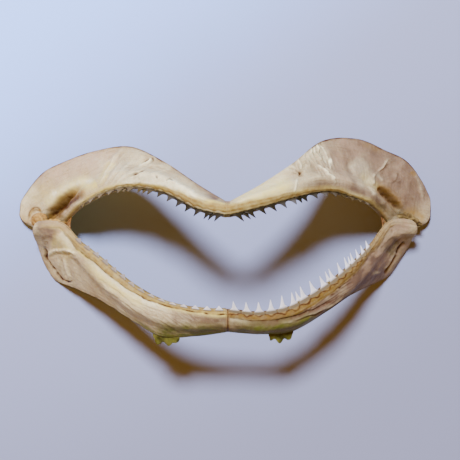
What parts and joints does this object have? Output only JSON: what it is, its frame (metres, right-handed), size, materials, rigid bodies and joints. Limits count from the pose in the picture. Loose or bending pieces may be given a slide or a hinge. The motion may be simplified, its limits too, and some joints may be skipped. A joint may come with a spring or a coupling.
{
  "type": "shark jaw",
  "caption": "Dried upper and lower jaws of a small requiem shark, spread wide and lying on their back, with pointed teeth along both arches.",
  "frame": {"origin": "centre of the base of the jaw's box, on the surface it lies on", "axes": "+X to the right as the mouth is looked into, +Y towards the upper jaw, +Z out of the mouth"},
  "size_m": [0.1696, 0.0794, 0.0666],
  "materials": {
    "upper_cartilage": "dried calcified cartilage, ivory to pinkish beige, satin",
    "lower_cartilage": "dried calcified cartilage, ivory with an olive lower edge, satin",
    "ligament": "dried ligament and gum membrane, translucent ochre brown",
    "dried_tissue": "dried yellow-green soft tissue, slightly glossy",
    "tooth_enamel": "polished tooth enamel"
  },
  "bodies": {
    "root": {"upper_jaw_left": "upper_cartilage", "upper_jaw_right": "upper_cartilage", "lower_jaw_left": "lower_cartilage", "lower_jaw_right": "lower_cartilage", "upper_symphysis": "ligament", "lower_symphysis": "ligament", "left_joint_ligament": "ligament", "right_joint_ligament": "ligament", "left_tissue_remnant": "dried_tissue", "right_tissue_remnant": "dried_tissue"}
  },
  "joints": []
}
